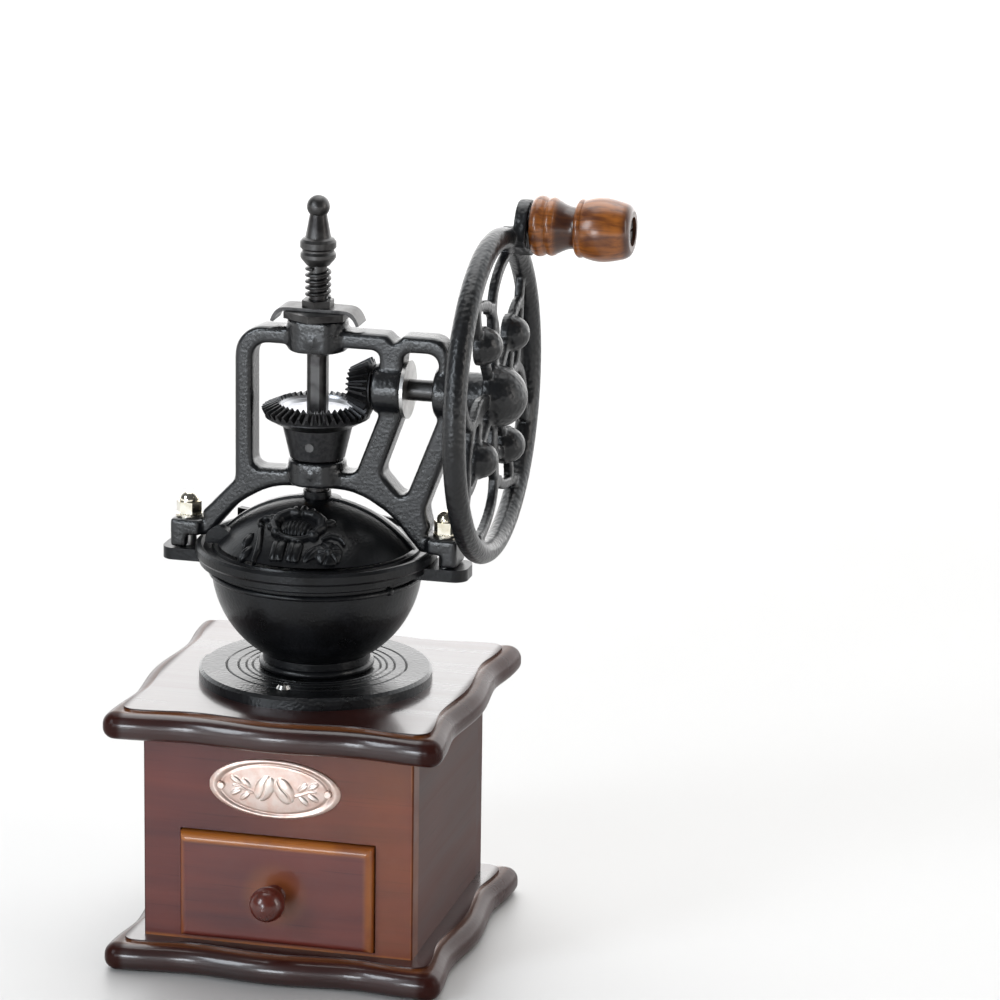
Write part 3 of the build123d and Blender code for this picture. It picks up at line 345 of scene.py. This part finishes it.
def crown_iron(name):
    """Cast iron with a bright turned dish inside the ring of teeth."""
    s = Shader(name)
    across, along, height = s.parts()
    reach = s.reach(across, along)
    _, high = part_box("crown_gear")
    inside = s.spread(reach, DISH_R - 0.0002, DISH_R + 0.0002, 1.0, 0.0)
    above = s.spread(height, high[2] - DISH_DEPTH, high[2] - DISH_DEPTH + 0.0006)
    dish = s.calc("MULTIPLY", inside, above)
    marks = s.noise((700.0, 700.0, 700.0), 3.0, 0.6)
    color = s.blend(s.spread(marks, 0.3, 0.7), (0.035, 0.035, 0.037, 1), (0.06, 0.06, 0.062, 1))
    color = s.blend(dish, color, (0.62, 0.62, 0.64, 1))
    s.bump(marks, 0.00005, 0.5)
    return s.finish(color, s.spread(marks, 0.3, 0.7, 0.34, 0.46), Metallic=1.0)


BLACK = casting("satin_black_casting", 0.0011, 0.00007, 0.3, shine=0.3)
BRIGHT_BLACK = casting("glossy_black_casting", 0.0011, 0.0001, 0.28, shine=0.62)
PEBBLED = casting("pebbled_black_casting", 0.0016, 0.00028, 0.34, shine=0.5)
DARK = (BLACKENED, shade(72, 38, 32), AMBER)
# Front panel and drawer stain; its darkest tone, DEEP, carries a painted purple reflection.
STAIN_AND_SHEEN = (DEEP, WARM, AMBER)
BOARD = (shade(32, 10, 9), shade(56, 20, 15), AMBER)
KNOB = (shade(66, 22, 16), shade(96, 38, 26), AMBER)
PLAIN = (shade(150, 112, 74), shade(190, 150, 104), shade(200, 160, 110))
LOOKS = {
    "plain_wood": wood("plain_wood", 1, *PLAIN, 0.5),
    "amber_wood": turned_wood("amber_turned_wood"),
    "black_casting": BLACK,
    "rough_casting": PEBBLED,
    "cast_iron": metal("cast_iron", (0.05, 0.05, 0.052, 1), (0.02, 0.02, 0.021, 1), 0.5, 900.0, 0.00006),
    "blackened_steel": metal("blackened_steel", (0.085, 0.083, 0.082, 1), (0.035, 0.033, 0.033, 1), 0.38),
    "bright_steel": metal("bright_steel", (0.62, 0.61, 0.6, 1), (0.42, 0.41, 0.4, 1), 0.34, 700.0),
    "nickel": metal("nickel", shade(236, 231, 218), shade(196, 188, 168), 0.16, 400.0),
    "bronze": metal("bronze", shade(170, 130, 80), shade(120, 84, 48), 0.35, 600.0),
    "copper": copper_plate("copper_plate"),
}
side_wood = wood("side_panel_wood", 1, *DARK, 0.5, coat=0.0, shine=0.22)
OWN_LOOKS = {
    "foot_plate": BRIGHT_BLACK,
    "foot_screws": metal("screw_steel", (0.5, 0.49, 0.47, 1), (0.3, 0.29, 0.28, 1), 0.3, 700.0),
    "crown_gear": crown_iron("crown_gear_iron"),
    "front_panel": wood(
        "front_panel_wood", 0, *STAIN_AND_SHEEN, 0.34, panel_fade("front_panel"), 0.3, dull=panel_ends
    ),
    "back_panel": wood("back_panel_wood", 0, *DARK, 0.5, coat=0.0, shine=0.22),
    "left_panel": side_wood,
    "right_panel": side_wood,
    "drawer_front": wood("drawer_wood", 0, *STAIN_AND_SHEEN, 0.32, drawer_fade),
    "drawer_knob": wood("knob_wood", 1, *KNOB, 0.24),
}
for board in ("base_board", "top_board"):
    OWN_LOOKS[board] = wood(board + "_wood", 0, *BOARD, 0.26, board_fade(board), 0.6, dull=side_noses)

for entry in frame["record"]["subparts"]:
    look = OWN_LOOKS.get(entry["node"]) or LOOKS[entry["material_slot"]]
    node = NODES[entry["node"]]
    node.data.materials.clear()
    node.data.materials.append(look)

# --- Pieces --------------------------------------------------------------------------


def height_patch(name, place, heights, us, vs, floor):
    """Raised relief as one mesh: a grid put on a surface, without the parts that lie below it."""
    grid = heights > floor
    index = -np.ones(heights.shape, int)
    points = []
    rows, columns = heights.shape
    keep = np.zeros(heights.shape, bool)
    cells = []
    for i in range(rows - 1):
        for j in range(columns - 1):
            if grid[i : i + 2, j : j + 2].any():
                keep[i : i + 2, j : j + 2] = True
                cells.append((i, j))
    for i in range(rows):
        for j in range(columns):
            if keep[i, j]:
                index[i, j] = len(points)
                points.append(place(us[j], vs[i], max(heights[i, j], floor)))
    quads = [
        (index[i, j], index[i, j + 1], index[i + 1, j + 1], index[i + 1, j]) for i, j in cells
    ]
    mesh = bpy.data.meshes.new(name)
    mesh.from_pydata(points, [], [tuple(int(k) for k in q) for q in quads])
    mesh.polygons.foreach_set("use_smooth", [True] * len(mesh.polygons))
    mesh.update()
    piece = bpy.data.objects.new(name, mesh)
    bpy.context.scene.collection.objects.link(piece)
    return piece


def dome(u, v, cu, cv, half_u, half_v, top, turn=0.0, power=2.0, flat=0.5):
    """Height of a rounded bump with an oval outline, in millimetres."""
    a, b = cos(turn), sin(turn)
    x = ((u - cu) * a + (v - cv) * b) / half_u
    y = (-(u - cu) * b + (v - cv) * a) / half_v
    reach = (np.abs(x) ** power + np.abs(y) ** power) ** (1 / power)
    return np.where(reach < 1, top * np.maximum(1 - reach**2, 0) ** flat, -1.0)


def groove(u, v, start, end, width, depth):
    """Depth of a straight V cut between two points."""
    start, end = np.array(start, float), np.array(end, float)
    d = end - start
    t = np.clip(((u - start[0]) * d[0] + (v - start[1]) * d[1]) / (d @ d), 0, 1)
    gap = np.hypot(u - start[0] - t * d[0], v - start[1] - t * d[1])
    return depth * np.maximum(1 - gap / width, 0)


def cut(shape, valley):
    """A raised shape with a valley cut into it."""
    return shape - valley * (shape > 0)


def ridge(u, v, points, widths, top):
    """Height of a rounded ridge that follows points, with its own half width at each."""
    best = np.full(u.shape, -1.0)
    for (p, wp), (q, wq) in zip(zip(points, widths), zip(points[1:], widths[1:])):
        p, q = np.array(p, float), np.array(q, float)
        d = q - p
        t = np.clip(((u - p[0]) * d[0] + (v - p[1]) * d[1]) / (d @ d), 0, 1)
        gap = np.hypot(u - p[0] - t * d[0], v - p[1] - t * d[1])
        half = wp + (wq - wp) * t
        rise = top * np.sqrt(np.maximum(1 - (gap / half) ** 2, 0))
        best = np.maximum(best, np.where(gap < half, rise, -1.0))
    return best


def softened(name, node, voxel, passes, look):
    """The node's own shape with its edges worn round, as sand casting leaves them."""
    source = NODES[node]
    piece = bpy.data.objects.new(name, source.data.copy())
    bpy.context.scene.collection.objects.link(piece)
    remesh = piece.modifiers.new("remesh", "REMESH")
    remesh.mode = "VOXEL"
    remesh.voxel_size = voxel
    remesh.use_smooth_shade = True
    smooth = piece.modifiers.new("smooth", "SMOOTH")
    smooth.factor = 0.5
    smooth.iterations = passes
    done = bpy.data.meshes.new_from_object(piece.evaluated_get(bpy.context.evaluated_depsgraph_get()))
    piece.modifiers.clear()
    piece.data = done
    done.name = name
    done.materials.clear()
    done.materials.append(look)
    done.polygons.foreach_set("use_smooth", [True] * len(done.polygons))
    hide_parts(node)
    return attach(piece, frame["nodes"][node]["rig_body"])


LID_CENTRE_Z = 108.4
LID_SKIN_R = 42.85
RELIEF_AZIMUTH = radians(-92.0)
RELIEF_ELEVATION = radians(59.0)
RELIEF_STEP = 0.25
RELIEF_SUNK = -0.35
BLOOM = (12.6, -6.8)
CURL = (-12.5, 3.4)


def flower_arms(u, v):
    """Two arms that curl round the cup, their ends, and three short petals between them."""
    shapes = []
    for side in (-1, 1):
        arm = [(1.2, 7.4), (4.2, 7.6), (7.0, 5.6), (7.9, 2.4), (6.4, -0.6)]
        arm = [(side * x, y) for x, y in arm]
        shapes.append(ridge(u, v, arm, [1.2, 1.7, 1.9, 1.8, 1.4], 2.5))
        shapes.append(dome(u, v, side * 6.2, -1.4, 2.0, 1.9, 2.8))
        shapes.append(dome(u, v, side * 9.6, 5.6, 2.3, 1.5, 1.6, radians(side * 40)))
    for angle in (58, 90, 122):
        turn = radians(angle)
        middle = (4.0 * cos(turn), 4.6 + 4.6 * sin(turn))
        shapes.append(dome(u, v, *middle, 2.6, 1.4, 2.4, turn))
    return shapes


def flower_cup(u, v):
    """Ribbed cup with a rim below it and two square petals hanging from it."""
    cup = dome(u, v, 0, 0.6, 4.9, 3.6, 2.6, 0.0, 2.4)
    for k in range(-3, 4):
        cup = cut(cup, groove(u, v, (1.15 * k, -3.0), (1.4 * k, 3.4), 0.5, 0.7))
    rim = [(5.6 * cos(radians(a)), -0.6 + 3.4 * sin(radians(a))) for a in range(180, 361, 15)]
    shapes = [cup, ridge(u, v, rim, [0.9] * len(rim), 1.9)]
    for cu in (-4.0, 1.6):
        slab = dome(u, v, cu, -8.6, 2.5, 4.1, 1.7, 0.0, 5.0, 0.35)
        shapes.append(cut(slab, groove(u, v, (cu, -5.0), (cu, -12.5), 0.45, 0.5)))
    return shapes


def flower_bloom(u, v):
    """Round bloom at the right with its leaf and its sepal."""
    leaf = dome(u, v, 7.4, -8.2, 4.4, 1.9, 1.5, radians(62), 1.6, 0.6)
    leaf = cut(leaf, groove(u, v, (5.4, -12.0), (9.3, -4.6), 0.5, 0.5))
    bloom = dome(u, v, *BLOOM, 4.6, 4.8, 2.0, 0.0, 2.2, 0.5)
    for k in range(6):
        a = radians(60 * k + 20)
        ends = [(BLOOM[0] + r * cos(a), BLOOM[1] + r * sin(a)) for r in (1.4, 5.0)]
        bloom = cut(bloom, groove(u, v, *ends, 0.6, 0.8))
    sepal = [(9.6, -1.6), (11.5, 0.4), (14.5, 0.6), (16.6, -1.6)]
    return [
        leaf,
        bloom,
        dome(u, v, BLOOM[0], BLOOM[1] + 0.2, 1.6, 1.6, 2.6),
        ridge(u, v, sepal, [0.7, 1.1, 1.1, 0.5], 1.4),
    ]


def flower_curl(u, v):
    """Curl at the left over a stem with two leaves."""
    turns = 11
    coil = [(3.6 - 0.28 * k, -0.6 + 0.52 * k) for k in range(turns)]
    curl = [(CURL[0] + r * cos(a), CURL[1] + r * sin(a)) for r, a in coil]
    stem = [(-12.4, 0.4), (-11.6, -4.0), (-11.2, -8.4), (-11.8, -12.4)]
    shapes = [
        ridge(u, v, curl, [1.0 - 0.04 * k for k in range(turns)], 1.6),
        ridge(u, v, stem, [0.9, 1.1, 1.3, 0.9], 1.4),
    ]
    for cu, cv, turn in ((-16.6, -3.4, radians(70)), (-16.0, -9.0, radians(58))):
        leaf = dome(u, v, cu, cv, 3.6, 1.8, 1.5, turn, 1.7, 0.6)
        ends = [(cu + k * cos(turn), cv + k * sin(turn)) for k in (-3, 3)]
        shapes.append(cut(leaf, groove(u, v, *ends, 0.5, 0.5)))
    return shapes


def lid_relief():
    """Cast flower on the lid, drawn flat and wrapped on the dome by distance from its middle."""
    us = np.arange(-22.0, 20.0, RELIEF_STEP)
    vs = np.arange(-15.5, 14.0, RELIEF_STEP)
    u, v = np.meshgrid(us, vs)
    shapes = [np.full(u.shape, -1.0)]
    for part in (flower_arms, flower_cup, flower_bloom, flower_curl):
        shapes += part(u, v)
    h = np.maximum.reduce(shapes)
    centre = Vector((0, 0, LID_CENTRE_Z))
    flat = cos(RELIEF_ELEVATION)
    out = Vector((cos(RELIEF_AZIMUTH) * flat, sin(RELIEF_AZIMUTH) * flat, sin(RELIEF_ELEVATION)))
    east = Vector((-sin(RELIEF_AZIMUTH), cos(RELIEF_AZIMUTH), 0))
    north = out.cross(east)

    def place(x, y, lift):
        reach = hypot(x, y)
        ray = out
        if reach > 0:
            turn = reach / LID_SKIN_R
            ray = out * cos(turn) + (east * x + north * y) * (sin(turn) / reach)
        return (centre + ray * (LID_SKIN_R + lift)) * MM

    piece = height_patch("lid_relief", place, h, us, vs, RELIEF_SUNK)
    piece.data.materials.append(BLACK)
    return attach(piece, "lid")


PLATE_STEP = 0.2


def plate():
    """Domed oval plate: rolled rim, groove, and two coffee beans between leaves."""
    low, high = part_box("name_plate")
    centre = (low + high) / 2
    half_w, half_h = (high[0] - low[0]) / 2 / MM, (high[2] - low[2]) / 2 / MM
    us = np.arange(-half_w - PLATE_STEP, half_w + 2 * PLATE_STEP, PLATE_STEP)
    vs = np.arange(-half_h - PLATE_STEP, half_h + 2 * PLATE_STEP, PLATE_STEP)
    u, v = np.meshgrid(us, vs)
    reach = np.hypot(u / half_w, v / half_h)
    inset = (1 - reach) * half_h
    h = 0.55 + 0.35 * np.maximum(1 - reach**2, 0)
    h += 0.3 * np.exp(-(((inset - 0.75) / 0.45) ** 2))
    h -= 0.3 * np.exp(-(((inset - 1.75) / 0.35) ** 2))
    motif = np.zeros(u.shape)
    for cu, cv, turn in ((-3.3, 0.2, 62), (3.3, -0.2, 118)):
        a = radians(turn)
        bean = np.maximum(dome(u, v, cu, cv, 4.6, 3.0, 0.75, a, 2.1, 0.5), 0)
        along = (u - cu) * cos(a) + (v - cv) * sin(a)
        across = -(u - cu) * sin(a) + (v - cv) * cos(a)
        crease = np.maximum(1 - np.abs(across - 0.5 * np.sin(along * 0.62)) / 0.45, 0)
        motif = np.maximum(motif, cut(bean, 0.55 * crease))
    for side in (-1, 1):
        stalk = [(side * 7.2, -1.6), (side * 9.4, -0.9), (side * 11.6, 0.2), (side * 14.0, 0.4)]
        motif = np.maximum(motif, ridge(u, v, stalk, [0.32, 0.3, 0.28, 0.2], 0.4))
        for cu, cv, turn in ((9.6, 1.5, 40), (9.9, -2.9, -42), (13.0, 2.2, 30), (13.0, -1.7, -30)):
            a = radians(turn)
            blade = np.maximum(dome(u, v, side * cu, cv, 2.3, 0.95, 0.55, side * a, 1.7, 0.6), 0)
            ends = [(side * (cu + k * cos(a)), cv + k * sin(a)) for k in (-2, 2)]
            motif = np.maximum(motif, cut(blade, groove(u, v, *ends, 0.3, 0.3)))
    h = np.where(inset > 2.0, h + motif, h)
    h = np.where(reach <= 1.0, h, -1.0)
    wall = high[1]

    def place(x, y, lift):
        k = hypot(x / half_w, y / half_h)
        if k > 1:
            x, y = x / k, y / k
        return (centre[0] + x * MM, wall - lift * MM, centre[2] + y * MM)

    piece = height_patch("oval_plate", place, h, us, vs, 0.0)
    piece.data.flip_normals()
    piece.data.materials.append(LOOKS["copper"])
    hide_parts("name_plate")
    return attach(piece, "body")


CAST_VOXEL = 0.0005
FRAME_WEAR = 22
WHEEL_WEAR = 7
softened("cast_bridge_frame", "bridge_frame", CAST_VOXEL, FRAME_WEAR, BRIGHT_BLACK)
softened("cast_hand_wheel", "hand_wheel", CAST_VOXEL, WHEEL_WEAR, PEBBLED)
lid_relief()
plate()

# --- Stage, light and camera -----------------------------------------------------------


FAR_GLOW = 2.3
NEAR_REACH = 0.5
FAR_REACH = 3.2
ROOM_GLOW = 0.12
BACK_GLOW = 2.2
MIDDLE = (0.0, 0.0, 0.12)
COOL = (0.86, 0.93, 1.0)
FOCAL_MM = 180.0
SENSOR_MM = 36.0
CAMERA_PLACE = (0.43335, -1.52317, 0.5895)
CAMERA_TURN = radians(13.71)
CAMERA_TILT = radians(15.50)
CAMERA_ROLL = radians(0.80)


def stage_floor():
    """Pale sweep: a floor that curves up into a backdrop far behind."""
    rows = [(y, 0.0) for y in (-6.0, -1.0, 0.5, 3.0, 6.0)]
    rows += [(7.2, 0.3), (7.8, 1.2), (8.0, 3.0), (8.0, 6.0)]
    columns = [-8.0, -2.0, 0.0, 2.0, 8.0]
    points = [(x, y, z) for y, z in rows for x in columns]
    faces = []
    for i in range(len(rows) - 1):
        for j in range(len(columns) - 1):
            k = i * len(columns) + j
            faces.append((k, k + 1, k + 1 + len(columns), k + len(columns)))
    mesh = bpy.data.meshes.new("floor")
    mesh.from_pydata(points, [], faces)
    floor = bpy.data.objects.new("floor", mesh)
    bpy.context.scene.collection.objects.link(floor)
    s = Shader("pale_floor")
    across, along, _ = s.parts()
    reach = s.reach(across, along)
    far = s.spread(reach, NEAR_REACH, FAR_REACH)
    mottled = s.noise((3.0, 3.0, 3.0), 2.0)
    color = s.blend(mottled, (0.565, 0.555, 0.545, 1), (0.585, 0.575, 0.565, 1))
    s.feed(s.calc("MULTIPLY", far, FAR_GLOW), s.surface.inputs["Emission Strength"])
    s.surface.inputs["Emission Color"].default_value = (1, 1, 1, 1)
    mesh.materials.append(s.finish(color, 0.45))


def softbox(name, place, aim, width, height, power, color=(1.0, 1.0, 1.0)):
    """Rectangular lamp at place, turned to aim. Metres and watts."""
    light = bpy.data.lights.new(name, "AREA")
    light.shape = "RECTANGLE"
    light.size, light.size_y = width, height
    light.energy = power
    light.color = color
    lamp = bpy.data.objects.new(name, light)
    lamp.location = place
    lamp.rotation_euler = (Vector(aim) - Vector(place)).to_track_quat("-Z", "Y").to_euler()
    bpy.context.scene.collection.objects.link(lamp)


def studio_world():
    """Dim room in front of the object and a bright wall behind it, by the direction's Y."""
    world = bpy.data.worlds.new("studio")
    bpy.context.scene.world = world
    world.use_nodes = True
    tree = world.node_tree
    glow = tree.nodes["Background"]
    glow.inputs["Color"].default_value = (0.95, 0.98, 1.0, 1)
    where = tree.nodes.new("ShaderNodeTexCoord")
    split = tree.nodes.new("ShaderNodeSeparateXYZ")
    rise = tree.nodes.new("ShaderNodeMapRange")
    rise.interpolation_type = "SMOOTHSTEP"
    rise.inputs["From Min"].default_value = -0.1
    rise.inputs["From Max"].default_value = 0.75
    rise.inputs["To Min"].default_value = ROOM_GLOW
    rise.inputs["To Max"].default_value = BACK_GLOW
    tree.links.new(where.outputs["Generated"], split.inputs[0])
    tree.links.new(split.outputs["Y"], rise.inputs["Value"])
    tree.links.new(rise.outputs["Result"], glow.inputs["Strength"])


def place_camera():
    """Long lens, turned from the front by TURN, looking down by TILT, and rolled a little."""
    lens = bpy.data.cameras.new("camera")
    lens.lens = FOCAL_MM
    lens.sensor_width = SENSOR_MM
    lens.clip_end = 50.0
    camera = bpy.data.objects.new("camera", lens)
    flat = cos(CAMERA_TILT)
    back = Vector((sin(CAMERA_TURN) * flat, -cos(CAMERA_TURN) * flat, sin(CAMERA_TILT)))
    level = Vector((cos(CAMERA_TURN), sin(CAMERA_TURN), 0))
    upright = back.cross(level)
    right = cos(CAMERA_ROLL) * level + sin(CAMERA_ROLL) * upright
    top = cos(CAMERA_ROLL) * upright - sin(CAMERA_ROLL) * level
    aim = Matrix((right, top, back)).transposed().to_4x4()
    camera.matrix_world = Matrix.Translation(CAMERA_PLACE) @ aim
    bpy.context.scene.collection.objects.link(camera)
    bpy.context.scene.camera = camera


stage_floor()
softbox("key_light", (-1.0, -1.3, 0.9), MIDDLE, 0.5, 0.9, 14.0, COOL)
softbox("front_light", (-0.42, -1.7, 0.25), (0.0, 0.0, 0.2), 0.4, 0.4, 7.0, (0.88, 0.94, 1.0))
softbox("top_light", (-0.2, 0.5, 2.2), MIDDLE, 1.8, 1.8, 24.0)
softbox("side_light", (1.5, -0.2, 0.6), MIDDLE, 0.3, 1.0, 5.0, (1.0, 0.96, 0.92))
studio_world()
bpy.context.scene.view_settings.view_transform = "Standard"
place_camera()
